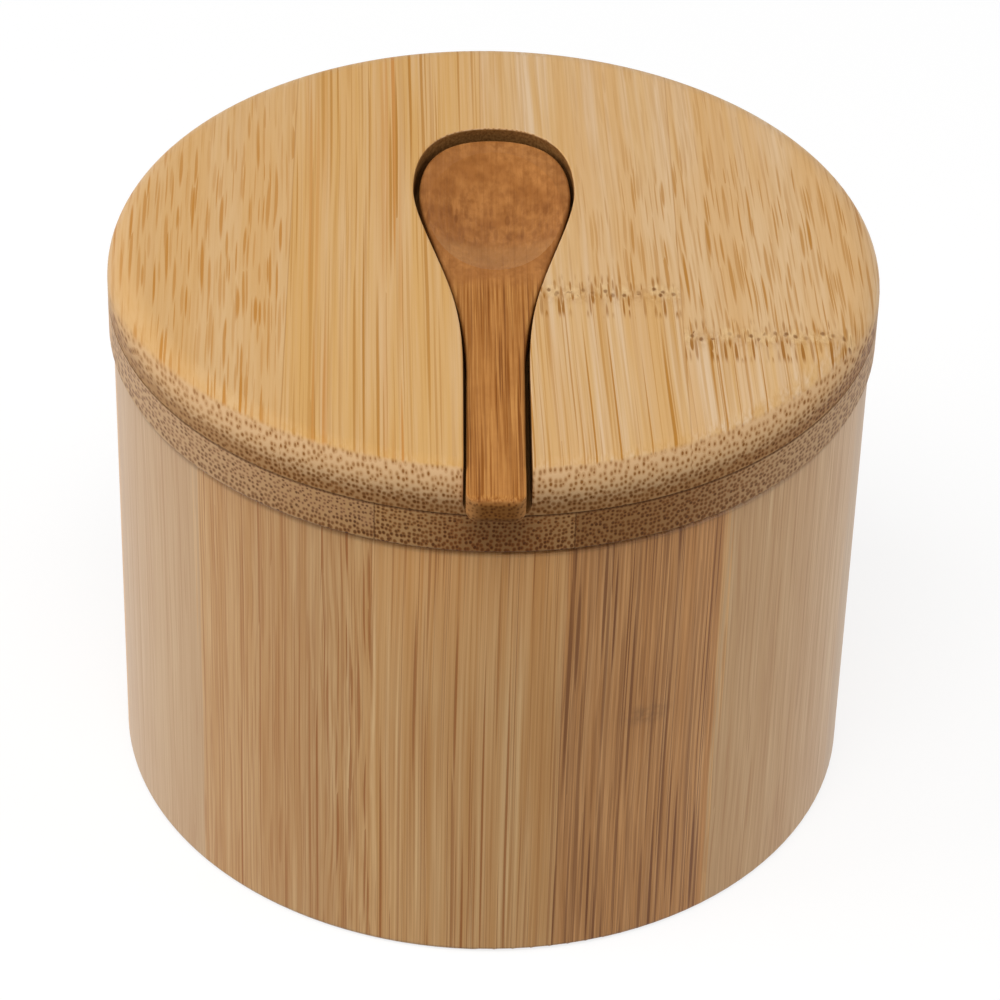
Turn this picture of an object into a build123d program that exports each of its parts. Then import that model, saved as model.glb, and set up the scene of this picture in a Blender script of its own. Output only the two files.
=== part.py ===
from build123d import *
import math
import os

# Round bamboo salt box: a turned pot, a two-ply lid that swivels on a pin through the back of
# the rim, a pair of magnets that hold it shut at the front, and a small spoon stowed in the lid.
# Millimetres. +Z is up, the origin is on the pot's axis at its underside, and -Y is the front,
# where the spoon's handle stands out past the rim.

# ---- Driving dimensions ---------------------------------------------------------------------

# Lid
LID_DIAMETER = 88.9
LOWER_PLY = 5.0             # thickness of the lower ply
TOP_PLY = 5.4               # thickness of the upper ply
LID_ROUND_OVER = 3.4        # radius of the upper edge, all the way round
LID_LOWER_ROUND = 0.3       # broken edge underneath
PLY_EDGE_BREAK = 0.12       # small bevel on both plies where they meet

# Pot
LID_OVERHANG = 0.5          # how far the lid stands out past the pot, all round
LID_GAP = 0.25              # running gap between the rim and the lid
POT_HEIGHT = 59.35
POT_WALL = 9.0
POT_RIM_ROUND = 0.5
POT_FOOT_ROUND = 0.8
BASE_THICKNESS = 10.0
BASE_LEDGE = 3.5            # how far the base reaches under the wall
BASE_GLUE_GAP = 0.05        # radial

# Spoon, laid along Y with its bowl to the back
SPOON_BACK = 23.3           # from the lid's centre back to the tip of the bowl
TIP_FULLNESS = 1.36         # how squarely the outline turns at the tip
HEAD_HALF_WIDTH = 8.85
HEAD_WIDEST = 11.2          # place along Y of the widest point
HEAD_FULLNESS = 0.72        # how long the head stays wide towards the neck
NECK_HALF_WIDTH = 4.65
NECK_PLACE = -10.2          # place along Y where the neck is measured
HANDLE_HALF_WIDTH = 3.22
HANDLE_START = -25.0        # from here on the handle is straight
HANDLE_PROUD = 3.6          # how far the handle stands out past the lid, for a fingertip
HANDLE_CORNER = 1.4         # rounding of the end's two corners, seen from above
HANDLE_DROP = 0.5           # handle's top below the lid's top
HANDLE_THICKNESS = 3.45
HANDLE_END_RADIUS = 1.4     # the handle's top rolls over at its end
HANDLE_END_ANGLE = 60.0     # degrees of that roll
TIP_DROP = 0.5              # the bowl's tip below the handle's top
TIP_LIFT = 1.9              # the tip's underside above the slot's floor
LIFT_START = 4.0            # place along Y where the underside starts to rise to the tip
HEEL_FRONT = -12.0          # place along Y where the underside starts to rise to the handle
HEEL_RISE = 11.0            # length of that rise
BOWL_LIP = -4.4             # place along Y of the bowl's front lip
BOWL_BACK_RIM = 1.9         # from the bowl's hollow to the tip
BOWL_SIDE_RIM = 1.0         # from the bowl's hollow to the side
BOWL_DEPTH = 1.9
SPOON_EDGE_ROUND = 0.35     # eased upper edge
SPOON_UNDER_ROUND = 1.2     # lower edge, which clears the rounded corner of the slot's floor
SPOON_TURN = -0.35          # degrees; it lies a little askew in its slot

# Slot for the spoon
TIP_GAP = 1.05              # between the tip of the bowl and the slot's wall
HEAD_GAP = 0.55             # beside the bowl, on each side
NECK_GAP = 0.23             # beside the neck
HANDLE_GAP = 0.46           # beside the handle
SLOT_WEB = 0.45             # wood of the upper ply left under the slot
SLOT_CORNER = 1.2           # radius left by the cutter along the slot's floor
SLOT_EDGE_ROUND = 0.25      # eased upper edge

# Pivot at the back of the rim
PIN_DIAMETER = 4.0
PIN_HEAD_DIAMETER = 6.8
PIN_HEAD = 1.5              # thickness of the head
PIN_IN_POT = 18.0           # length held in the wall
PIN_RUNNING_GAP = 0.08      # radial, where the lid turns on the pin
PIN_HEAD_GAP = 0.3          # radial, round the head
PIN_PLAY = 0.1              # above and below the head
WASHER_RECESS = 0.25        # how deep the washer is let into the rim
WASHER_GAP = 0.1            # radial, round the washer

# Magnets at the front
MAGNET_DIAMETER = 6.0
MAGNET_THICKNESS = 3.0
MAGNET_GLUE_GAP = 0.1       # radial

# ---- Sizes that follow ----------------------------------------------------------------------

LID_RADIUS = LID_DIAMETER / 2
POT_RADIUS = LID_RADIUS - LID_OVERHANG
CAVITY_RADIUS = POT_RADIUS - POT_WALL
HARDWARE_RADIUS = POT_RADIUS - POT_WALL / 2

LID_BOTTOM = POT_HEIGHT + LID_GAP
GLUE_LINE = LID_BOTTOM + LOWER_PLY
LID_TOP = GLUE_LINE + TOP_PLY
ROUND_OVER = min(LID_ROUND_OVER, TOP_PLY - 2 * PLY_EDGE_BREAK)

SLOT_FLOOR = GLUE_LINE + SLOT_WEB
HANDLE_TOP = LID_TOP - HANDLE_DROP
HANDLE_UNDER = HANDLE_TOP - HANDLE_THICKNESS
HANDLE_END = -(LID_RADIUS + HANDLE_PROUD)

UPRIGHT = (Align.CENTER, Align.CENTER, Align.MIN)
HANGING = (Align.CENTER, Align.CENTER, Align.MAX)
FACES_UP = 0.3              # least upright part of the normal of a face that looks up or down
PIVOT = Location((0, HARDWARE_RADIUS, 0))
CATCH = Location((0, -HARDWARE_RADIUS, 0))


def disc(radius, bottom, height):
    """Upright cylinder about the box's axis."""
    return Pos(0, 0, bottom) * Cylinder(radius, height, align=UPRIGHT)


def lowest(solid):
    """Edges of the solid's lowest face level."""
    return solid.edges().group_by(Axis.Z)[0]


def highest(solid):
    """Edges of the solid's highest face level."""
    return solid.edges().group_by(Axis.Z)[-1]


def teardrop(tip_room, head_room, neck_room, handle_room, front):
    """Outline of the spoon from above, with room added round it, cut off at front."""
    tip = (0, SPOON_BACK + tip_room)
    side = (HEAD_HALF_WIDTH + head_room, HEAD_WIDEST)
    neck = (NECK_HALF_WIDTH + neck_room, NECK_PLACE)
    handle = (HANDLE_HALF_WIDTH + handle_room, HANDLE_START)
    end = (HANDLE_HALF_WIDTH + handle_room, front)
    across, down = (1, 0), (0, -1)
    right = Spline(tip, side, tangents=(across, down), tangent_scalars=(TIP_FULLNESS, TIP_FULLNESS))
    right += Spline(side, neck, handle, tangents=(down, down), tangent_scalars=(HEAD_FULLNESS, 1))
    right += Line(handle, end)
    outline = right + mirror(right, about=Plane.YZ)
    outline += Line(end, (-end[0], front))
    return make_face(outline)


# ---- Pot ------------------------------------------------------------------------------------

def pot_body():
    """Turned wall, bored right through, with a rebate for the base and pockets in its rim."""
    wall = disc(POT_RADIUS, 0, POT_HEIGHT)
    wall = fillet(lowest(wall), POT_FOOT_ROUND)
    wall -= disc(CAVITY_RADIUS, 0, POT_HEIGHT)
    wall -= disc(CAVITY_RADIUS + BASE_LEDGE, 0, BASE_THICKNESS)
    wall = fillet(highest(wall), POT_RIM_ROUND)
    rim = Pos(0, 0, POT_HEIGHT)
    pin_hole = Cylinder(PIN_DIAMETER / 2, PIN_IN_POT, align=HANGING)
    washer_seat = Cylinder(PIN_HEAD_DIAMETER / 2 + WASHER_GAP, WASHER_RECESS, align=HANGING)
    magnet_pocket = Cylinder(MAGNET_DIAMETER / 2 + MAGNET_GLUE_GAP, MAGNET_THICKNESS, align=HANGING)
    wall -= PIVOT * rim * (pin_hole + washer_seat)
    wall -= CATCH * rim * magnet_pocket
    return wall


def pot_base():
    """Disc glued into the rebate, its top face the floor of the cavity."""
    return disc(CAVITY_RADIUS + BASE_LEDGE - BASE_GLUE_GAP, 0, BASE_THICKNESS)


# ---- Lid ------------------------------------------------------------------------------------

def slot():
    """The space cut for the spoon: open at the front and above, rounded along its floor."""
    beyond_rim = HANDLE_END - HANDLE_GAP - SLOT_CORNER
    outline = Pos(0, 0, SLOT_FLOOR) * teardrop(TIP_GAP, HEAD_GAP, NECK_GAP, HANDLE_GAP, beyond_rim)
    space = extrude(outline, LID_TOP - SLOT_FLOOR + LID_GAP)
    return fillet(lowest(space), SLOT_CORNER)


def lid_top_ply():
    """Upper ply, rounded over at its rim, with the slot cut nearly through it."""
    ply = disc(LID_RADIUS, GLUE_LINE, TOP_PLY)
    ply = fillet(highest(ply), ROUND_OVER)
    ply = chamfer(lowest(ply), PLY_EDGE_BREAK)
    ply -= slot()
    slot_edge = highest(ply).filter_by(GeomType.CIRCLE, reverse=True)
    return fillet(slot_edge, SLOT_EDGE_ROUND)


def lid_lower_ply():
    """Lower ply, with the pin's running bore, the space for its head and the magnet's pocket."""
    ply = disc(LID_RADIUS, LID_BOTTOM, LOWER_PLY)
    ply = fillet(lowest(ply), LID_LOWER_ROUND)
    ply = chamfer(highest(ply), PLY_EDGE_BREAK)
    bore = Cylinder(PIN_DIAMETER / 2 + PIN_RUNNING_GAP, LOWER_PLY, align=UPRIGHT)
    head_space = Cylinder(PIN_HEAD_DIAMETER / 2 + PIN_HEAD_GAP, PIN_HEAD + 2 * PIN_PLAY, align=HANGING)
    magnet_pocket = Cylinder(MAGNET_DIAMETER / 2 + MAGNET_GLUE_GAP, MAGNET_THICKNESS, align=UPRIGHT)
    ply -= PIVOT * Pos(0, 0, LID_BOTTOM) * bore
    ply -= PIVOT * Pos(0, 0, GLUE_LINE) * head_space
    ply -= CATCH * Pos(0, 0, LID_BOTTOM) * magnet_pocket
    return ply


# ---- Spoon ----------------------------------------------------------------------------------

def spoon_side():
    """The spoon's outline from the side, as a face across the whole width."""
    roll = math.radians(HANDLE_END_ANGLE)
    roll_start = HANDLE_END + HANDLE_END_RADIUS * math.sin(roll)
    end_top = HANDLE_TOP - HANDLE_END_RADIUS * (1 - math.cos(roll))
    heel = (HEEL_FRONT, SLOT_FLOOR)
    rise_end = (HEEL_FRONT - HEEL_RISE, HANDLE_UNDER)
    tip = SPOON_BACK + TIP_GAP
    tip_top = (tip, HANDLE_TOP - TIP_DROP)
    tip_under = (tip, SLOT_FLOOR + TIP_LIFT)
    edge = JernArc((roll_start, HANDLE_TOP), (-1, 0), HANDLE_END_RADIUS, HANDLE_END_ANGLE)
    edge += Line((HANDLE_END, end_top), (HANDLE_END, HANDLE_UNDER))
    edge += Line((HANDLE_END, HANDLE_UNDER), rise_end)
    edge += Spline(rise_end, heel, tangents=((1, 0), (1, 0)))
    edge += Line(heel, (LIFT_START, SLOT_FLOOR))
    edge += TangentArc((LIFT_START, SLOT_FLOOR), tip_under, tangent=(1, 0))
    edge += Line(tip_under, tip_top)
    edge += TangentArc((BOWL_LIP, HANDLE_TOP), tip_top, tangent=(1, 0))
    edge += Line((BOWL_LIP, HANDLE_TOP), (roll_start, HANDLE_TOP))
    return Plane.YZ * make_face(edge)


def bowl_hollow():
    """Shallow hollow of the bowl: an arc along the spoon, turned about an axis above it."""
    half_length = (SPOON_BACK - BOWL_BACK_RIM - BOWL_LIP) / 2
    half_width = HEAD_HALF_WIDTH - BOWL_SIDE_RIM
    middle = BOWL_LIP + half_length
    rim_level = HANDLE_TOP - TIP_DROP * ((middle - BOWL_LIP) / (SPOON_BACK - BOWL_LIP)) ** 2
    bottom = rim_level - BOWL_DEPTH
    along = (half_length ** 2 + BOWL_DEPTH ** 2) / (2 * BOWL_DEPTH)
    across = (half_width ** 2 + BOWL_DEPTH ** 2) / (2 * BOWL_DEPTH)
    reach = math.sqrt(along ** 2 - (along - across) ** 2)
    axis_height = bottom + across
    left = (middle - reach, axis_height)
    right = (middle + reach, axis_height)
    half = ThreePointArc(left, (middle, bottom), right) + Line(right, left)
    turning = Axis((0, 0, axis_height), (0, 1, 0))
    return revolve(Plane.YZ * make_face(half), turning)


def outline_edges(solid, way):
    """Edges round the solid's upward faces (way 1) or downward faces (way -1), taken together."""
    facing = [face for face in solid.faces() if way * face.normal_at().Z > FACES_UP]
    edges = [edge for face in facing for edge in face.edges()]
    return [edge for edge in edges if sum(edge.is_same(other) for other in edges) == 1]


def spoon():
    """Small flat spoon: its outline from above, its outline from the side, and the bowl."""
    outline = teardrop(0, 0, 0, 0, HANDLE_END)
    outline = fillet(outline.vertices().group_by(Axis.Y)[0], HANDLE_CORNER)
    blank = extrude(Pos(0, 0, SLOT_FLOOR) * outline, LID_TOP - SLOT_FLOOR)
    blank &= extrude(spoon_side(), HEAD_HALF_WIDTH + HEAD_GAP, both=True)
    blank = fillet(outline_edges(blank, -1), SPOON_UNDER_ROUND)
    blank = fillet(outline_edges(blank, 1), SPOON_EDGE_ROUND)
    blank -= bowl_hollow()
    middle = (SPOON_BACK + HANDLE_END) / 2
    return Pos(0, middle, 0) * Rot(0, 0, SPOON_TURN) * Pos(0, -middle, 0) * blank


# ---- Pivot and magnets ----------------------------------------------------------------------

def pivot_pin():
    """Headed pin, driven into the wall, with its head trapped between the plies."""
    head_bottom = GLUE_LINE - PIN_PLAY - PIN_HEAD
    foot = POT_HEIGHT - PIN_IN_POT
    shank = Pos(0, 0, foot) * Cylinder(PIN_DIAMETER / 2, head_bottom - foot, align=UPRIGHT)
    head = Pos(0, 0, head_bottom) * Cylinder(PIN_HEAD_DIAMETER / 2, PIN_HEAD, align=UPRIGHT)
    return PIVOT * (shank + head)


def pivot_washer():
    """Thin washer let into the rim round the pin, which carries the lid as it turns."""
    thickness = WASHER_RECESS + LID_GAP
    ring = Cylinder(PIN_HEAD_DIAMETER / 2, thickness, align=HANGING)
    ring -= Cylinder(PIN_DIAMETER / 2 + PIN_RUNNING_GAP, thickness, align=HANGING)
    return PIVOT * Pos(0, 0, LID_BOTTOM) * ring


def lid_magnet():
    """Disc magnet, flush with the lid's underside."""
    return CATCH * Pos(0, 0, LID_BOTTOM) * Cylinder(MAGNET_DIAMETER / 2, MAGNET_THICKNESS, align=UPRIGHT)


def rim_magnet():
    """Disc magnet, flush with the pot's rim."""
    return CATCH * Pos(0, 0, POT_HEIGHT) * Cylinder(MAGNET_DIAMETER / 2, MAGNET_THICKNESS, align=HANGING)


# ---- Write each piece -----------------------------------------------------------------------

PIECES = (pot_body, pot_base, lid_lower_ply, lid_top_ply, spoon,
          pivot_pin, pivot_washer, lid_magnet, rim_magnet)

os.makedirs("parts", exist_ok=True)
for piece in PIECES:
    export_step(piece(), f"parts/{piece.__name__}.step")
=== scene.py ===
import math
from types import SimpleNamespace

import bpy
from mathutils import Matrix, Vector

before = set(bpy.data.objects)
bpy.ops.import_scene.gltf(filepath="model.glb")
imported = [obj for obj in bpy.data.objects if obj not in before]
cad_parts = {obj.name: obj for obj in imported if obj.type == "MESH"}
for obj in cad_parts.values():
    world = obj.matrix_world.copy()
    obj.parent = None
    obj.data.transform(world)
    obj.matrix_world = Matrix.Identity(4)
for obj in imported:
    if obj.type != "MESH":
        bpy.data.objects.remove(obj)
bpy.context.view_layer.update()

MM = 0.001

# ---- Sizes of the box that the materials follow, in millimetres -------------------------------

LID_BOTTOM = 59.6
GLUE_LINE = 64.6            # where the lid's two plies meet
LID_TOP = 70.0
POT_RADIUS = 43.95
SPOON_FRONT = -48.05        # the end of the spoon's handle

# Edges between strips of bamboo that lie side by side, along X.
TOP_EDGES = (-23.5, -1.5, 21.0)
LOWER_EDGES = (-13.2, 8.5)
BASE_EDGES = (-31.0, -12.0, 7.0, 26.0)

# How far in front of the lid's middle two strips of the upper ply have a node.
NODE_CENTRE_RIGHT = 9.6
NODE_FAR_RIGHT = 17.9

# Boards round the pot's wall: where each ends, round the wall to the right from the middle of the
# front, and then for each board how strong its long lines are, its short wisps, and its tone.
POT_EDGES = (-110.0, -88.0, -62.0, -37.3, -19.6, -13.7, 2.5, 8.0, 27.8, 55.0, 71.0, 96.0, 118.0)
POT_LEVELS = ((0.7, 0.3, 0.5), (0.9, 0.2, 0.6), (0.5, 0.6, 0.4), (0.4, 0.3, 0.12), (0.85, 0.5, 0.55),
              (0.5, 1.0, 0.5), (1.0, 0.1, 0.5), (1.0, 0.2, 0.6), (1.0, 0.45, 1.0), (0.35, 0.45, 0.23),
              (0.3, 0.4, 0.12), (0.9, 0.2, 0.6), (0.5, 0.5, 0.4), (0.8, 0.3, 0.5))

# Bump of the bamboo: its height, and how much of that the fine fibre and the marks take.
BUMP_HEIGHT = 0.02
FIBRE_RISE = 0.5
MARK_DEPTH = 0.7


# ---- Colours ------------------------------------------------------------------------------------

def srgb(red, green, blue):
    """Linear colour for an 8-bit one."""
    out = []
    for value in (red, green, blue):
        value /= 255
        out.append(value / 12.92 if value <= 0.04045 else ((value + 0.055) / 1.055) ** 2.4)
    return (*out, 1.0)


def palette(**colours):
    """Linear colours by name, from 8-bit ones."""
    return SimpleNamespace(**{name: srgb(*colour) for name, colour in colours.items()})


GLUE = srgb(84, 54, 30)

TOP = palette(
    ground=(209, 169, 116),
    pale_ground=(215, 185, 149),
    fibre=(194, 148, 88),
    wide_band=(204, 156, 95),
    golden=(206, 158, 90),
    eye=(226, 192, 142),            # along a node
    joint=(168, 118, 62),
    bunch=(190, 124, 48),
    streak=(172, 116, 40),
    left_dash=(182, 122, 46),
    node_dash=(150, 96, 28),
    pit=(112, 64, 14),
    end_low=(151, 104, 61),         # end grain
    end_low_left=(182, 142, 98),
    end_high=(190, 149, 104),
    web_low=(178, 137, 92),         # between its bundles
    web_high=(207, 170, 127),
    bundle_low=(98, 58, 24),
    bundle_high=(128, 80, 30),
    browned=(132, 92, 50),          # in the slot
    browned_fibre=(98, 62, 28),
)

LOWER = palette(
    ground=(214, 166, 104),
    pale_ground=(222, 182, 132),
    fibre=(194, 142, 80),
    streak=(174, 112, 50),
    end_low=(146, 96, 51),
    end_high=(169, 117, 67),
    end_left=(186, 138, 95),
    end_right=(136, 86, 43),
    end_middle=(132, 72, 26),
    end_far=(183, 145, 107),
    web=(190, 148, 98),
    web_dark=(148, 104, 58),
    web_far=(206, 172, 134),
    bundle=(76, 42, 14),
    bundle_far=(118, 82, 50),
    joint=(84, 52, 26),
)

POT = palette(
    ground=(218, 168, 108),
    pale_ground=(242, 202, 147),
    fibre=(196, 140, 82),
    wide_band=(204, 147, 85),
    grey=(192, 163, 130),           # boards of low tone
    brown=(216, 153, 94),           # boards of high tone
    brown_fibre=(164, 106, 54),
    dull=(159, 122, 86),
    warm=(222, 152, 79),
    streak=(158, 92, 34),
    brown_streak=(120, 70, 30),
    stain=(112, 78, 50),
    under_lid=(96, 60, 28),
    end_ground=(186, 142, 94),
    web=(214, 174, 124),
    bundle=(98, 62, 30),
)

SPOON = palette(
    bowl=(180, 120, 64),
    handle=(186, 127, 66),
    patch=(154, 96, 46),
    speck=(140, 86, 40),
    fibre=(140, 82, 28),
    pale_fibre=(204, 146, 80),
    slope=(178, 128, 76),
    streak=(112, 60, 18),
    end_ground=(127, 79, 34),
    web=(150, 106, 58),
    end_sides=(180, 128, 76),
    bundle=(74, 38, 12),
)

BASE = palette(
    ground=(212, 164, 104),
    pale_ground=(224, 184, 132),
    fibre=(194, 142, 82),
    streak=(168, 108, 48),
    joint=(120, 76, 38),
)

METAL = palette(steel=(196, 194, 190), nickel=(214, 210, 202), cloud=(90, 88, 84))


# ---- A short way to write shader nodes ----------------------------------------------------------

class Net:
    """Adds nodes to a tree. The methods take sockets or numbers, and most give a socket."""

    def __init__(self, tree):
        self.tree = tree

    def put(self, socket, value):
        """Links or sets one input."""
        if isinstance(value, bpy.types.NodeSocket):
            self.tree.links.new(value, socket)
        else:
            socket.default_value = value

    def add(self, kind, **settings):
        """A new node, as a node."""
        node = self.tree.nodes.new(kind)
        for key, value in settings.items():
            setattr(node, key, value)
        return node

    def fill(self, node, values):
        """Sets a node's first inputs in order, and gives the node."""
        for socket, value in zip(node.inputs, values):
            self.put(socket, value)
        return node

    def math(self, operation, *values):
        return self.fill(self.add("ShaderNodeMath", operation=operation), values).outputs[0]

    def plus(self, a, b):
        return self.math("ADD", a, b)

    def minus(self, a, b):
        return self.math("SUBTRACT", a, b)

    def times(self, *values):
        out = values[0]
        for value in values[1:]:
            out = self.math("MULTIPLY", out, value)
        return out

    def inverse(self, value):
        return self.math("SUBTRACT", 1.0, value)

    def absolute(self, value):
        return self.math("ABSOLUTE", value)

    def least(self, a, b):
        return self.math("MINIMUM", a, b)

    def most(self, a, b):
        return self.math("MAXIMUM", a, b)

    def smooth(self, value, low, high, to_low=0.0, to_high=1.0):
        node = self.add("ShaderNodeMapRange", interpolation_type="SMOOTHSTEP")
        return self.fill(node, (value, low, high, to_low, to_high)).outputs[0]

    def linear(self, value, low, high, to_low=0.0, to_high=1.0):
        node = self.add("ShaderNodeMapRange")
        return self.fill(node, (value, low, high, to_low, to_high)).outputs[0]

    def between(self, value, low, high, soft):
        """1 from low to high, 0 outside, with soft ends."""
        rise = self.smooth(value, low - soft, low + soft)
        fall = self.smooth(value, high - soft, high + soft, 1.0, 0.0)
        return self.times(rise, fall)

    def vector(self, x, y, z):
        return self.fill(self.add("ShaderNodeCombineXYZ"), (x, y, z)).outputs[0]

    def parts(self, vector):
        """A vector's or a colour's three numbers."""
        node = self.fill(self.add("ShaderNodeSeparateXYZ"), (vector,))
        return node.outputs[0], node.outputs[1], node.outputs[2]

    def noise(self, vector, detail, rough=0.5):
        node = self.add("ShaderNodeTexNoise", noise_dimensions="3D")
        self.put(node.inputs["Vector"], vector)
        self.put(node.inputs["Scale"], 1.0)
        self.put(node.inputs["Detail"], detail)
        self.put(node.inputs["Roughness"], rough)
        return node.outputs["Fac"]

    def cells(self, across, depth, randomness):
        """Distance to the nearest cell's middle, a random colour for it, and its place."""
        node = self.add("ShaderNodeTexVoronoi", voronoi_dimensions="2D", feature="F1")
        self.put(node.inputs["Vector"], self.vector(across, depth, 0.0))
        self.put(node.inputs["Scale"], 1.0)
        self.put(node.inputs["Randomness"], randomness)
        return node.outputs["Distance"], node.outputs["Color"], node.outputs["Position"]

    def mix(self, factor, a, b):
        """Blend of two colours."""
        node = self.add("ShaderNodeMix", data_type="RGBA")
        self.put(node.inputs[0], factor)
        self.put(node.inputs[6], a)
        self.put(node.inputs[7], b)
        return node.outputs[2]

    def blend(self, factor, a, b):
        """Blend of two numbers."""
        node = self.add("ShaderNodeMix", data_type="FLOAT")
        self.put(node.inputs[0], factor)
        self.put(node.inputs[2], a)
        self.put(node.inputs[3], b)
        return node.outputs[0]

    def steps(self, value, low, high, edges, levels, soft):
        """Three numbers that change from board to board, within soft of each edge."""
        node = self.add("ShaderNodeValToRGB")
        stops = [(low, levels[0])]
        for edge, before, after in zip(edges, levels, levels[1:]):
            stops += [(edge - soft, before), (edge + soft, after)]
        elements = node.color_ramp.elements
        while len(elements) < len(stops):
            elements.new(0.5)
        for element, (place, level) in zip(elements, stops):
            element.position = (place - low) / (high - low)
            element.color = (*level, 1.0)
        self.put(node.inputs[0], self.linear(value, low, high))
        return self.parts(node.outputs[0])

    def position(self):
        """Place on the piece, in millimetres, as three numbers."""
        coordinates = self.add("ShaderNodeTexCoord")
        scaled = self.add("ShaderNodeVectorMath", operation="SCALE")
        self.put(scaled.inputs[0], coordinates.outputs["Object"])
        self.put(scaled.inputs["Scale"], 1 / MM)
        return self.parts(scaled.outputs[0])

    def normal(self):
        """Which way the surface faces, in the piece's own axes, as three numbers."""
        return self.parts(self.add("ShaderNodeTexCoord").outputs["Normal"])

    def bump(self, height, distance):
        """Bump of the distance given, in millimetres, where height is 1."""
        node = self.add("ShaderNodeBump")
        self.put(node.inputs["Strength"], 1.0)
        self.put(node.inputs["Distance"], distance * MM)
        self.put(node.inputs["Height"], height)
        return node.outputs[0]


class Surface(Net):
    """The nodes of a new material."""

    def __init__(self, name):
        self.material = bpy.data.materials.new(name)
        self.material.use_nodes = True
        super().__init__(self.material.node_tree)
        self.shader = self.tree.nodes["Principled BSDF"]

    def finish(self, colour, roughness, normal=None, metallic=0.0, ior=1.4, specular=0.5, sheen=0.0):
        """Sets the shader and gives the material."""
        self.put(self.shader.inputs["Base Color"], colour)
        self.put(self.shader.inputs["Roughness"], roughness)
        self.shader.inputs["Metallic"].default_value = metallic
        self.shader.inputs["IOR"].default_value = ior
        self.shader.inputs["Specular IOR Level"].default_value = specular
        self.shader.inputs["Sheen Weight"].default_value = sheen
        if normal is not None:
            self.put(self.shader.inputs["Normal"], normal)
        return self.material

    def finish_bamboo(self, colour, roughness, hair, marks, **settings):
        """Sets the shader of bamboo whose fine fibre stands up and whose marks are sunk."""
        height = self.minus(self.times(hair, FIBRE_RISE), self.times(marks, MARK_DEPTH))
        return self.finish(colour, roughness, self.bump(height, BUMP_HEIGHT), **settings)


# ---- Bamboo -------------------------------------------------------------------------------------
# across and depth are places across the fibres, and along is the place along them. They and the
# sizes given with them are in millimetres.

def streaks(net, across, along, cell, length, half_width, seed=0.0):
    """Lens-shaped streaks along the grain, each thin, with soft ends and a strength of its own.

    cell is about how far apart they lie, and length about how long the longest are.
    """
    u = net.plus(net.times(across, 1.0 / cell), seed)
    v = net.plus(net.times(along, 1.0 / length), seed)
    _, colour, middle = net.cells(u, v, randomness=1.0)
    chance, middle = net.parts(colour), net.parts(middle)
    side = net.times(net.minus(u, middle[0]), cell)
    end = net.times(net.minus(v, middle[1]), 2.0)
    width = net.linear(chance[0], 0.0, 1.0, 0.6 * half_width, 1.5 * half_width)
    reach = net.linear(chance[1], 0.0, 1.0, 0.45, 1.15)
    side = net.math("DIVIDE", side, width)
    end = net.math("DIVIDE", end, reach)
    lens = net.inverse(net.plus(net.times(side, side), net.times(end, end)))
    return net.times(net.smooth(lens, -0.2, 0.8), net.linear(chance[2], 0.0, 1.0, 0.2, 1.0))


def fibre(net, across, depth, along, width, length, detail=2.0):
    """Noise drawn out along the grain, around 0.5."""
    where = net.vector(net.times(across, 1.0 / width), net.times(depth, 1.0 / width),
                       net.times(along, 1.0 / length))
    return net.noise(where, detail=detail, rough=0.6)


def lean(net, across, depth, along, amount, wave):
    """Sideways drift of the grain, in millimetres, that changes slowly."""
    drift = fibre(net, across, depth, along, width=wave * 0.3, length=wave, detail=1.0)
    return net.times(net.minus(drift, 0.5), amount)


def bundle_ends(net, across, depth, cell, size):
    """Vascular bundles cut across: the dark core of each, and the pale lines between them."""
    u = net.times(across, 1.0 / cell)
    distance, colour, _ = net.cells(u, net.times(depth, 1.0 / cell), randomness=0.7)
    distance, chance = net.times(distance, cell), net.parts(colour)
    size = net.times(net.linear(chance[0], 0.0, 1.0, 0.7, 1.3), size)
    core = net.smooth(distance, net.plus(size, 0.05), net.minus(size, 0.05))
    core = net.times(core, net.linear(chance[1], 0.0, 1.0, 0.5, 1.0))
    return core, net.smooth(distance, 0.36 * cell, 0.54 * cell)


def node_band(net, across, behind, reach):
    """Marks where the cane had a node: small pits and pale eyes in a row, dashes and tufts.

    behind is how far behind the node a point is, and reach limits the band to its own strip.
    """
    ragged = net.minus(fibre(net, across, 0.0, behind, width=0.45, length=0.8), 0.5)

    def spots(gap, jitter, seed):
        """Distance to the nearest of a row of spots, and a random number for that spot."""
        u = net.plus(net.times(across, 1.0 / gap), seed)
        _, colour, middle = net.cells(u, net.times(behind, 0.3 / gap), randomness=0.7)
        chance, middle = net.parts(colour), net.parts(middle)
        side = net.minus(across, net.times(net.minus(middle[0], seed), gap))
        row = net.minus(behind, net.linear(chance[0], 0.0, 1.0, -jitter, jitter))
        radius = net.math("SQRT", net.plus(net.times(side, side), net.times(row, row, 0.4)))
        return net.plus(radius, net.times(ragged, 0.35)), chance[2]

    small, strength = spots(gap=1.3, jitter=0.75, seed=0.0)
    pit = net.times(net.smooth(small, 0.34, 0.10), net.linear(strength, 0.0, 1.0, 0.3, 1.0))
    large, _ = spots(gap=2.8, jitter=0.4, seed=7.3)
    eye = net.smooth(large, 1.1, 0.5)
    dashes = streaks(net, across, behind, cell=0.54, length=6.0, half_width=0.16, seed=5.3)
    dashes = net.times(net.least(net.times(dashes, 1.8), 1.0), net.between(behind, -4.6, -0.3, 0.9))
    stain = net.times(net.between(behind, -2.2, 1.2, 1.2), net.linear(ragged, -0.2, 0.2, 0.0, 0.6))
    dashes = net.most(dashes, net.times(stain, 0.6))
    tufts = streaks(net, across, behind, cell=0.7, length=4.0, half_width=0.13, seed=8.9)
    tufts = net.times(tufts, net.between(behind, -1.4, 3.0, 0.9), 0.9)
    return [net.times(mark, reach) for mark in (pit, eye, dashes, tufts)]


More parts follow.
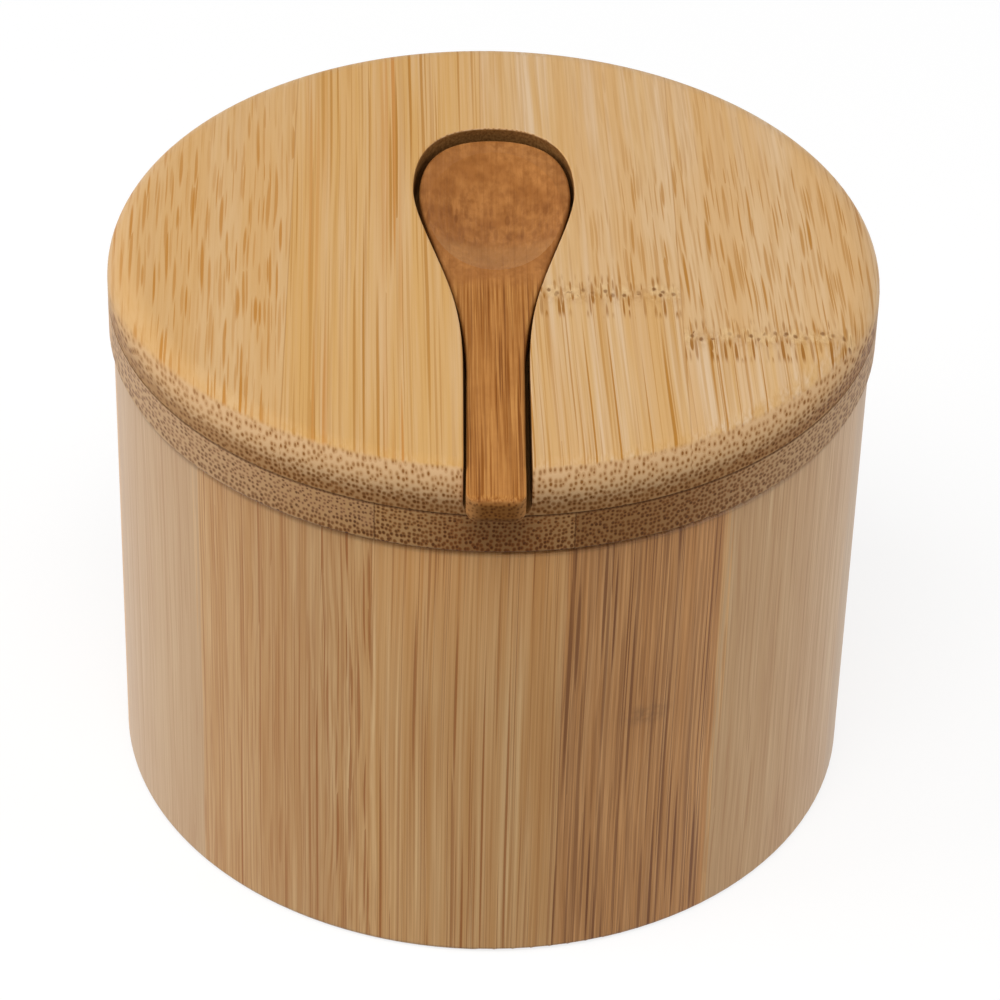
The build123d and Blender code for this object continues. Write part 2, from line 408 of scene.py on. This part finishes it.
def joint_lines(net, place, edges, width):
    """Thin glue lines at the edges given."""
    lines = 0.0
    for edge in edges:
        away = net.absolute(net.minus(place, edge))
        lines = net.most(lines, net.smooth(away, width, 0.3 * width))
    return lines


def shifted(net, across, place, edges, shift):
    """Moves the pattern on by shift from board to board, so that no board repeats another."""
    number = 0.0
    for edge in edges:
        number = net.plus(number, net.math("GREATER_THAN", place, edge))
    return net.plus(across, net.times(number, shift))


def fibres_cut(net, ny, steep, low, high):
    """1 where a surface cuts across fibres that lie along Y, 0 where it follows them."""
    return net.smooth(net.plus(net.absolute(ny), net.times(steep, 0.35)), low, high)


def lid_top_bamboo(name):
    """Upper ply: four strips side by side with their grain along Y, and a node in two of them."""
    net = Surface(name)
    x, y, z = net.position()
    nx, ny, nz = net.normal()
    left_edge, middle_edge, right_edge = TOP_EDGES
    level = net.linear(z, GLUE_LINE, LID_TOP)
    cut = fibres_cut(net, ny, net.inverse(net.most(nz, 0.0)), 0.42, 0.60)

    # The grain leans a little to the right towards the front, and wanders.
    across = net.plus(x, net.times(net.smooth(x, -2.0, 14.0, 0.018, 0.034), y))
    bunched = net.plus(net.between(across, -21.6, -19.4, 0.8),
                       net.between(across, -13.2, -10.6, 0.8))
    across = net.plus(across, lean(net, across, z, y, amount=0.8, wave=45.0))
    across = shifted(net, across, x, TOP_EDGES, shift=37.7)
    wavy = net.plus(across, lean(net, across, z, y, amount=0.5, wave=16.0))

    # Where the streaks are short: in the strip at the left, and behind the nodes.
    left = net.smooth(x, left_edge + 0.2, left_edge - 0.2)
    centre_right = net.between(x, middle_edge, right_edge, 0.15)
    far_right = net.smooth(x, right_edge - 0.15, right_edge + 0.15)
    behind = net.times(centre_right,
                       net.smooth(y, -NODE_CENTRE_RIGHT - 0.9, -NODE_CENTRE_RIGHT + 1.1))
    behind_far = net.times(far_right,
                           net.smooth(y, -NODE_FAR_RIGHT - 1.1, -NODE_FAR_RIGHT + 1.4))
    fade = net.smooth(y, 6.0, 26.0, 1.0, 0.35)
    short = net.plus(net.times(left, net.smooth(y, 8.0, 32.0, 1.0, 0.45)), 0.05)
    short = net.plus(short, net.times(behind, net.smooth(x, 6.0, 17.0, 0.2, 0.85), fade))
    short = net.least(net.plus(short, net.times(behind_far, fade)), 1.0)
    long = net.times(net.inverse(net.times(left, 0.75)),
                     net.inverse(net.times(net.plus(behind, behind_far), 0.75)))

    crowd = fibre(net, across, z, y, width=2.2, length=80.0, detail=1.0)
    crowd = net.linear(crowd, 0.40, 0.60, 0.35, 1.0)
    thin = net.times(streaks(net, across, y, cell=0.50, length=48.0, half_width=0.085), crowd)
    bold = streaks(net, across, y, cell=1.30, length=60.0, half_width=0.15, seed=3.1)
    soft = net.times(streaks(net, across, y, cell=3.4, length=60.0, half_width=0.42, seed=6.4), 0.5)
    small = streaks(net, wavy, y, cell=0.60, length=11.0, half_width=0.12, seed=7.7)
    large = streaks(net, wavy, y, cell=1.00, length=12.5, half_width=0.18, seed=2.2)
    dashes = net.most(net.times(small, 0.85), large)
    bunches = streaks(net, across, y, cell=0.75, length=75.0, half_width=0.27, seed=9.3)
    bunches = net.least(net.times(bunched, bunches, 1.6), 1.0)
    lines = net.most(net.most(net.times(thin, 0.85), bold), soft)
    mark = net.most(net.times(lines, long), net.times(dashes, short))

    first = node_band(net, across, net.plus(y, NODE_CENTRE_RIGHT), centre_right)
    second = node_band(net, across, net.plus(y, NODE_FAR_RIGHT), far_right)
    pit, eye, node_dashes, tufts = [net.most(a, b) for a, b in zip(first, second)]

    # Ground: fibre, which is shorter among the short streaks, and broader bands of tone.
    hair = net.blend(short, fibre(net, across, z, y, width=0.30, length=30.0),
                     fibre(net, wavy, z, y, width=0.40, length=12.0))
    band = net.linear(fibre(net, across, z, y, width=1.1, length=55.0), 0.38, 0.62)
    wide = fibre(net, across, z, y, width=4.0, length=60.0, detail=1.0)
    centre_left = net.between(x, left_edge, middle_edge, 0.15)
    golden = net.most(net.times(left, 0.3), net.times(centre_left, 0.5))
    ground = net.mix(net.blend(short, band, 0.5), TOP.ground, TOP.pale_ground)
    ground = net.mix(net.times(net.linear(hair, 0.42, 0.70), net.blend(short, 0.65, 0.35)),
                     ground, TOP.fibre)
    ground = net.mix(net.linear(wide, 0.42, 0.62, 0.0, 0.4), ground, TOP.wide_band)
    ground = net.mix(golden, ground, TOP.golden)
    ground = net.mix(net.times(eye, 0.7), ground, TOP.eye)

    streak = net.mix(net.times(short, left), TOP.streak, TOP.left_dash)
    joints = joint_lines(net, x, TOP_EDGES, width=0.12)
    side_grain = net.mix(net.times(joints, 0.4), ground, TOP.joint)
    side_grain = net.mix(net.times(bunches, 0.75), side_grain, TOP.bunch)
    side_grain = net.mix(net.times(mark, 0.92), side_grain, streak)
    side_grain = net.mix(net.times(net.most(node_dashes, tufts), 0.9), side_grain, TOP.node_dash)
    side_grain = net.mix(net.times(pit, 0.9), side_grain, TOP.pit)

    # End grain round the rim: pale above and darker below, with a dot for each bundle. The left
    # end of the rim is paler, with fainter dots.
    size = net.linear(level, 0.0, 1.0, 0.135, 0.105)
    dot, web = bundle_ends(net, across, net.times(z, 0.85), cell=0.53, size=size)
    cloudy = fibre(net, across, z, y, width=1.1, length=30.0, detail=3.0)
    height = net.plus(level, net.times(net.minus(cloudy, 0.5), 0.55))
    far_left = net.smooth(x, -20.0, -38.0)
    low = net.mix(net.times(far_left, 0.5), TOP.end_low, TOP.end_low_left)
    end_ground = net.mix(net.smooth(height, 0.20, 0.62), low, TOP.end_high)
    pale = net.mix(net.smooth(height, 0.15, 0.5), TOP.web_low, TOP.web_high)
    end_ground = net.mix(net.times(web, 0.75), end_ground, pale)
    dark = net.mix(net.smooth(height, 0.2, 0.7), TOP.bundle_low, TOP.bundle_high)
    dot = net.times(dot, net.inverse(net.times(far_left, 0.3)))
    end_grain = net.mix(net.times(dot, 0.95), end_ground, dark)

    # The slot's wall and floor are darkened, as painted shade in the slot. A face that is upright and
    # doesn't look outward is the slot's wall.
    outward = net.math("DIVIDE", net.plus(net.times(nx, x), net.times(ny, y)),
                       net.math("SQRT", net.plus(net.times(x, x), net.times(y, y))))
    upright = net.smooth(net.absolute(nz), 0.75, 0.35)
    slot_wall = net.times(upright, net.smooth(outward, 0.6, 0.3))
    slot_floor = net.times(net.smooth(z, LID_TOP - 2.5, LID_TOP - 4.0), net.smooth(nz, 0.2, 0.6))
    browned = net.mix(net.linear(hair, 0.35, 0.7), TOP.browned, TOP.browned_fibre)

    colour = net.mix(cut, side_grain, end_grain)
    colour = net.mix(net.most(slot_wall, slot_floor), colour, browned)
    glue = net.times(net.smooth(z, GLUE_LINE + 0.2, GLUE_LINE + 0.1), net.smooth(level, 0.5, 0.2))
    colour = net.mix(net.times(glue, 0.7), colour, GLUE)
    roughness = net.plus(net.linear(hair, 0.3, 0.7, 0.34, 0.44), net.times(cut, 0.06))
    return net.finish_bamboo(colour, roughness, hair, net.blend(cut, mark, dot), specular=0.08)


def lid_lower_bamboo(name):
    """Lower ply: three strips with their grain along Y, so that its rim is mostly end grain."""
    net = Surface(name)
    x, y, z = net.position()
    _, ny, nz = net.normal()
    left_edge, right_edge = LOWER_EDGES
    level = net.linear(z, LID_BOTTOM, GLUE_LINE)
    cut = fibres_cut(net, ny, net.inverse(net.absolute(nz)), 0.42, 0.60)
    across = net.plus(x, lean(net, x, z, y, amount=1.0, wave=40.0))
    across = shifted(net, across, x, LOWER_EDGES, shift=29.3)

    lines = net.most(streaks(net, across, y, cell=0.6, length=45.0, half_width=0.09, seed=1.9),
                     streaks(net, across, y, cell=1.5, length=60.0, half_width=0.14, seed=5.5))
    hair = fibre(net, across, z, y, width=0.30, length=30.0)
    band = fibre(net, across, z, y, width=1.1, length=55.0)
    ground = net.mix(net.linear(band, 0.38, 0.62), LOWER.ground, LOWER.pale_ground)
    ground = net.mix(net.linear(hair, 0.40, 0.68, 0.0, 0.75), ground, LOWER.fibre)
    side_grain = net.mix(net.times(lines, 0.85), ground, LOWER.streak)

    # The bundles lie a little further apart towards the underside.
    depth = net.plus(z, net.times(net.inverse(level), net.inverse(level), 0.8))
    size = net.linear(level, 0.0, 1.0, 0.125, 0.12)
    dot, web = bundle_ends(net, across, depth, cell=0.47, size=size)
    cloudy = fibre(net, across, z, y, width=1.3, length=30.0, detail=3.0)
    height = net.plus(level, net.times(net.minus(cloudy, 0.5), 0.7))

    # Tones of the end grain from left to right: each strip has its own. The middle, under the spoon's
    # handle, is darkened as painted shade, and both ends of the rim are paled as painted light.
    left = net.times(net.smooth(x, left_edge + 0.1, left_edge - 0.1),
                     net.smooth(height, 0.0, 0.6), 0.85)
    middle = net.times(net.between(x, -6.7, 6.7, 4.0), net.linear(height, 0.0, 1.0, 0.75, 0.5))
    right = net.times(net.smooth(x, right_edge - 0.1, right_edge + 0.1),
                      net.smooth(x, 34.0, 20.0), 0.9)
    far = net.smooth(net.absolute(x), 14.0, 40.0)
    end_ground = net.mix(net.smooth(height, 0.1, 0.8), LOWER.end_low, LOWER.end_high)
    end_ground = net.mix(left, end_ground, LOWER.end_left)
    end_ground = net.mix(right, end_ground, LOWER.end_right)
    end_ground = net.mix(middle, end_ground, LOWER.end_middle)
    end_ground = net.mix(net.times(far, net.inverse(right), 0.75), end_ground, LOWER.end_far)
    pale = net.mix(net.most(middle, net.times(right, 0.8)), LOWER.web, LOWER.web_dark)
    pale = net.mix(net.times(far, 0.7), pale, LOWER.web_far)
    end_ground = net.mix(net.times(web, 0.8), end_ground, pale)
    dark = net.mix(far, LOWER.bundle, LOWER.bundle_far)
    end_grain = net.mix(net.times(dot, 0.85), end_ground, dark)
    joints = joint_lines(net, x, LOWER_EDGES, width=0.14)
    end_grain = net.mix(net.times(joints, 0.5), end_grain, LOWER.joint)

    colour = net.mix(cut, side_grain, end_grain)
    glue = net.times(net.smooth(z, GLUE_LINE - 0.2, GLUE_LINE - 0.1), net.smooth(nz, 0.9, 0.8))
    colour = net.mix(net.times(glue, 0.7), colour, GLUE)
    roughness = net.plus(net.linear(hair, 0.3, 0.7, 0.36, 0.46), net.times(cut, 0.06))
    marks = net.blend(cut, lines, dot)
    return net.finish_bamboo(colour, roughness, hair, marks, specular=0.08, sheen=0.08)


def pot_bamboo(name):
    """Turned bamboo with its grain upright, from boards side by side, each with its own figure."""
    net = Surface(name)
    x, y, z = net.position()
    _, _, nz = net.normal()
    cut = net.smooth(net.absolute(nz), 0.8, 0.95)
    round_wall = net.times(net.math("ARCTAN2", x, net.times(y, -1.0)), POT_RADIUS)
    half = math.pi * POT_RADIUS
    ragged = fibre(net, round_wall, 0.0, z, width=0.7, length=60.0)
    feathered = net.plus(round_wall, net.times(net.minus(ragged, 0.5), 4.5))
    long, short, tone = net.steps(feathered, -half, half, POT_EDGES, POT_LEVELS, soft=0.15)
    across = shifted(net, round_wall, round_wall, POT_EDGES, shift=51.3)
    across = net.plus(across, lean(net, across, 0.0, z, amount=1.2, wave=80.0))
    wavy = net.plus(across, lean(net, across, 0.0, z, amount=1.3, wave=26.0))

    crowd = fibre(net, across, 0.0, z, width=2.4, length=90.0, detail=1.0)
    crowd = net.linear(crowd, 0.40, 0.60, 0.3, 1.0)
    thin = net.times(streaks(net, across, z, cell=0.46, length=50.0, half_width=0.085), crowd)
    bold = streaks(net, across, z, cell=1.20, length=60.0, half_width=0.15, seed=4.4)
    dense = net.times(streaks(net, across, z, cell=0.78, length=42.0, half_width=0.20, seed=2.9),
                      net.smooth(tone, 0.6, 1.0))
    wisps = net.most(streaks(net, wavy, z, cell=0.66, length=22.0, half_width=0.10, seed=6.1),
                     streaks(net, wavy, z, cell=1.2, length=16.0, half_width=0.17, seed=1.7))
    lines = net.most(net.most(net.times(thin, 0.85), bold), dense)
    mark = net.most(net.times(lines, long), net.times(wisps, short, 0.9))

    hair = net.blend(short, fibre(net, across, 0.0, z, width=0.30, length=45.0),
                     fibre(net, wavy, 0.0, z, width=0.36, length=14.0))
    band = fibre(net, across, 0.0, z, width=1.1, length=70.0)
    wide = fibre(net, across, 0.0, z, width=5.0, length=45.0, detail=1.0)
    ground = net.mix(net.linear(band, 0.36, 0.64), POT.ground, POT.pale_ground)
    ground = net.mix(net.linear(hair, 0.40, 0.68, 0.0, 0.85), ground, POT.fibre)
    ground = net.mix(net.linear(wide, 0.4, 0.65, 0.0, 0.4), ground, POT.wide_band)
    # Boards of low tone are greyer: partly their own tone and partly a painted sheen of the white
    # surroundings, as the lowest lie at the pot's left and right seen from the front.
    ground = net.mix(net.smooth(tone, 0.5, 0.0, 0.0, 0.8), ground, POT.grey)
    brown = net.mix(net.linear(hair, 0.38, 0.66), POT.brown, POT.brown_fibre)
    ground = net.mix(net.smooth(tone, 0.5, 1.0, 0.0, 0.7), ground, brown)

    # The boards left of the front are a duller brown. The front is warmer towards the lid, as painted
    # shade and bounce light from the lid.
    dull_edge = POT_EDGES[3]
    dull = net.times(net.smooth(feathered, dull_edge - 0.3, dull_edge + 0.3),
                     net.smooth(round_wall, -11.0, -21.0), 0.34)
    ground = net.mix(dull, ground, POT.dull)
    warm = net.times(net.between(round_wall, -11.0, 8.0, 4.0), net.linear(z, 38.0, 56.0, 0.0, 0.4))
    ground = net.mix(warm, ground, POT.warm)
    streak = net.mix(net.smooth(tone, 0.5, 1.0), POT.streak, POT.brown_streak)
    side_grain = net.mix(net.times(mark, 0.95), ground, streak)

    # What is left of a node: a faint grey-brown stain on the dark board.
    stain = net.times(net.between(round_wall, 15.5, 20.5, 1.5), net.between(z, 32.6, 34.6, 1.2))
    blotch = fibre(net, round_wall, 0.0, z, width=1.5, length=1.5)
    stain = net.times(stain, net.linear(blotch, 0.35, 0.6))
    side_grain = net.mix(net.times(stain, 0.5), side_grain, POT.stain)
    # Painted shade: the top edge of the wall, just under the lid's overhang, is darkened a little.
    under_lid = net.times(net.smooth(z, LID_BOTTOM - 1.2, LID_BOTTOM - 0.4), 0.45)
    side_grain = net.mix(under_lid, side_grain, POT.under_lid)

    dot, web = bundle_ends(net, x, y, cell=0.66, size=0.14)
    end_ground = net.mix(net.times(web, 0.4), POT.end_ground, POT.web)
    end_grain = net.mix(net.times(dot, 0.85), end_ground, POT.bundle)

    colour = net.mix(cut, side_grain, end_grain)
    roughness = net.plus(net.linear(hair, 0.3, 0.7, 0.34, 0.44), net.times(cut, 0.12))
    marks = net.blend(cut, mark, dot)
    return net.finish_bamboo(colour, roughness, hair, marks, ior=1.45, specular=0.25, sheen=0.08)


def spoon_bamboo(name):
    """Darker, steamed bamboo with its grain along Y."""
    net = Surface(name)
    x, y, z = net.position()
    _, ny, nz = net.normal()

    # The fibres are cut at the tip, on the handle's end face and on the roll above that.
    steep = net.inverse(net.absolute(nz))
    cut = fibres_cut(net, ny, steep, 0.86, 1.0)
    cut = net.most(cut, net.smooth(y, SPOON_FRONT + 0.45, SPOON_FRONT + 0.1))
    roll = net.times(net.smooth(y, SPOON_FRONT + 2.2, SPOON_FRONT + 1.2), net.smooth(steep, 0.3, 0.6))
    cut = net.most(cut, roll)
    across = net.plus(x, lean(net, x, z, y, amount=0.5, wave=30.0))
    handle = net.smooth(y, -5.0, -10.0)
    middle_of_bowl = net.between(y, 2.5, 11.0, 1.8)

    thin = streaks(net, across, y, cell=0.45, length=26.0, half_width=0.075, seed=9.1)
    bold = streaks(net, across, y, cell=1.1, length=34.0, half_width=0.12, seed=4.7)
    lines = net.most(thin, net.times(bold, 0.9))
    large = streaks(net, across, y, cell=1.1, length=4.2, half_width=0.3, seed=1.3)
    small = streaks(net, across, y, cell=0.6, length=3.2, half_width=0.12, seed=7.2)
    dashes = net.most(large, net.times(small, 0.7))
    mark = net.most(net.times(lines, net.blend(handle, 0.25, 1.0)),
                    net.times(dashes, middle_of_bowl, 0.6))

    hair = fibre(net, across, z, y, width=0.26, length=22.0)
    blotch = fibre(net, x, z, y, width=1.0, length=1.8, detail=3.0)
    patch = fibre(net, x, z, y, width=3.2, length=4.2)
    patch = net.times(net.linear(patch, 0.40, 0.62), net.blend(handle, 0.75, 0.2))
    speck = net.times(net.linear(blotch, 0.40, 0.66), net.blend(handle, 0.75, 0.15))
    dark_fibre = net.times(net.linear(hair, 0.42, 0.66), net.blend(handle, 0.2, 0.9))
    pale_fibre = net.smooth(fibre(net, across, z, y, width=0.40, length=18.0), 0.56, 0.64)
    ground = net.mix(handle, SPOON.bowl, SPOON.handle)
    ground = net.mix(patch, ground, SPOON.patch)
    ground = net.mix(speck, ground, SPOON.speck)
    ground = net.mix(dark_fibre, ground, SPOON.fibre)
    ground = net.mix(net.times(pale_fibre, handle, 0.45), ground, SPOON.pale_fibre)
    # The bowl's front slope crosses the fibres and faces back and up: it is paler, partly as the tone
    # of the cut fibres and partly as painted light.
    slope = net.times(net.smooth(ny, 0.04, 0.2), net.between(y, -4.0, 2.5, 1.5),
                      net.smooth(nz, 0.7, 0.9))
    ground = net.mix(net.times(slope, 0.4), ground, SPOON.slope)
    side_grain = net.mix(net.times(mark, 0.85), ground, SPOON.streak)

    dot, web = bundle_ends(net, x, z, cell=0.47, size=0.12)
    # Painted light: the end face's rounded corners, at both sides, are paler, as where they catch the
    # light, and their dots are fainter.
    sides = net.smooth(net.absolute(x), 1.5, 2.9)
    end_grain = net.mix(net.times(web, 0.3), SPOON.end_ground, SPOON.web)
    end_grain = net.mix(net.times(sides, 0.6), end_grain, SPOON.end_sides)
    end_grain = net.mix(net.times(dot, net.blend(sides, 0.8, 0.6)), end_grain, SPOON.bundle)

    colour = net.mix(cut, side_grain, end_grain)
    roughness = net.plus(net.linear(hair, 0.3, 0.7, 0.42, 0.54), net.times(cut, 0.1))
    return net.finish_bamboo(colour, roughness, hair, net.blend(cut, mark, dot), specular=0.1)


def base_bamboo(name):
    """The pot's base: strips glued side by side with their grain lying flat, along Y."""
    net = Surface(name)
    x, y, z = net.position()
    across = net.plus(x, lean(net, x, z, y, amount=1.0, wave=40.0))
    across = shifted(net, across, x, BASE_EDGES, shift=23.9)
    thin = streaks(net, across, y, cell=0.6, length=45.0, half_width=0.09, seed=4.1)
    bold = streaks(net, across, y, cell=1.5, length=60.0, half_width=0.14, seed=8.2)
    lines = net.most(net.times(thin, 0.85), bold)
    hair = fibre(net, across, z, y, width=0.30, length=30.0)
    band = fibre(net, across, z, y, width=1.1, length=55.0)
    ground = net.mix(net.linear(band, 0.38, 0.62), BASE.ground, BASE.pale_ground)
    ground = net.mix(net.linear(hair, 0.40, 0.68, 0.0, 0.7), ground, BASE.fibre)
    colour = net.mix(net.times(lines, 0.9), ground, BASE.streak)
    joints = joint_lines(net, x, BASE_EDGES, width=0.14)
    colour = net.mix(net.times(joints, 0.5), colour, BASE.joint)
    roughness = net.linear(hair, 0.3, 0.7, 0.36, 0.46)
    return net.finish_bamboo(colour, roughness, hair, lines, specular=0.1)


# ---- Metal --------------------------------------------------------------------------------------

def metal(name, colour, roughness):
    """Bare metal, a little clouded."""
    net = Surface(name)
    cloud = net.noise(net.vector(*(net.times(place, 3.0) for place in net.position())), detail=4.0)
    shade = net.mix(net.times(cloud, 0.25), colour, METAL.cloud)
    return net.finish(shade, net.linear(cloud, 0.2, 0.8, roughness, roughness + 0.15),
                      net.bump(cloud, 0.003), metallic=1.0, ior=1.5)


# ---- Each piece gets its material ---------------------------------------------------------------

steel = metal("steel", METAL.steel, roughness=0.3)
nickel = metal("nickel", METAL.nickel, roughness=0.12)
MATERIALS = {
    "lid_top_ply": lid_top_bamboo("bamboo_lid_top"),
    "lid_lower_ply": lid_lower_bamboo("bamboo_lid_lower"),
    "pot_body": pot_bamboo("bamboo_pot"),
    "pot_base": base_bamboo("bamboo_base"),
    "spoon": spoon_bamboo("bamboo_spoon"),
    "pivot_pin": steel,
    "pivot_washer": steel,
    "lid_magnet": nickel,
    "rim_magnet": nickel,
}
for node, material in MATERIALS.items():
    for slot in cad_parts[node].material_slots:
        slot.link = "OBJECT"
        slot.material = material

# ---- Stage, light and camera --------------------------------------------------------------------

FLOOR_HALF = 4.0            # half the floor's side, in metres
FLOOR_COLOUR = (0.24, 0.24, 0.24, 1.0)
FLOOR_GLOW = 0.77           # shows the floor white to the camera
WORLD_LIGHT = 0.22
WHITE = (1.0, 1.0, 1.0, 1.0)
LIT_POINT = Vector((0, 0, 0.05))    # what the lights face


def seen_directly(net):
    """1 for a ray from the camera, a mirror or glass, 0 for a ray that carries light."""
    path = net.add("ShaderNodeLightPath")
    seen = net.most(path.outputs["Is Camera Ray"], path.outputs["Is Glossy Ray"])
    return net.most(seen, path.outputs["Is Transmission Ray"])


corners = [(-FLOOR_HALF, -FLOOR_HALF, 0), (FLOOR_HALF, -FLOOR_HALF, 0),
           (FLOOR_HALF, FLOOR_HALF, 0), (-FLOOR_HALF, FLOOR_HALF, 0)]
floor_mesh = bpy.data.meshes.new("floor")
floor_mesh.from_pydata(corners, [], [(0, 1, 2, 3)])
floor = bpy.data.objects.new("floor", floor_mesh)
bpy.context.scene.collection.objects.link(floor)

paper = Surface("floor_paper")
paper.shader.inputs["Emission Color"].default_value = WHITE
paper.put(paper.shader.inputs["Emission Strength"], paper.times(seen_directly(paper), FLOOR_GLOW))
floor.data.materials.append(paper.finish(FLOOR_COLOUR, roughness=0.9, specular=0.0))

world = bpy.data.worlds.new("studio")
world.use_nodes = True
bpy.context.scene.world = world
sky = Net(world.node_tree)
background = world.node_tree.nodes["Background"]
background.inputs["Color"].default_value = WHITE
sky.put(background.inputs["Strength"], sky.linear(seen_directly(sky), 0.0, 1.0, WORLD_LIGHT, 1.0))


def soft_box(name, way, distance, size, power):
    """A square light at a distance from the box, in the direction given, that faces it."""
    way = Vector(way).normalized()
    data = bpy.data.lights.new(name, "AREA")
    data.shape = "SQUARE"
    data.size = size
    data.energy = power
    lamp = bpy.data.objects.new(name, data)
    lamp.location = LIT_POINT + way * distance
    lamp.rotation_euler = (-way).to_track_quat("-Z", "Y").to_euler()
    bpy.context.scene.collection.objects.link(lamp)


# One soft box above the front, a little to the left, and one at each side, the left one stronger.
soft_box("key", way=(-0.0746, -0.3836, 0.9205), distance=1.2, size=0.64, power=8.2)
soft_box("left", way=(-0.93, -0.10, 0.35), distance=1.2, size=0.9, power=9.8)
soft_box("right", way=(0.93, -0.10, 0.35), distance=1.2, size=0.9, power=6.3)

# The camera's place, and its axes: right, up and back.
place = Vector((-9.7951, -405.5067, 343.5774)) * MM
right = Vector((0.999674, -0.009733, 0.023625))
up = Vector((-0.012828, 0.608462, 0.793479))
back = Vector((-0.022097, -0.793523, 0.608139))
camera_data = bpy.data.cameras.new("camera")
camera_data.sensor_width = 36.0
camera_data.lens = 153.075
camera_data.clip_start = 0.01
camera_data.clip_end = 50.0
camera = bpy.data.objects.new("camera", camera_data)
turn = Matrix((right, up, back)).transposed()
camera.matrix_world = Matrix.Translation(place) @ turn.to_4x4()
bpy.context.scene.collection.objects.link(camera)
bpy.context.scene.camera = camera
bpy.context.scene.view_settings.view_transform = "Standard"
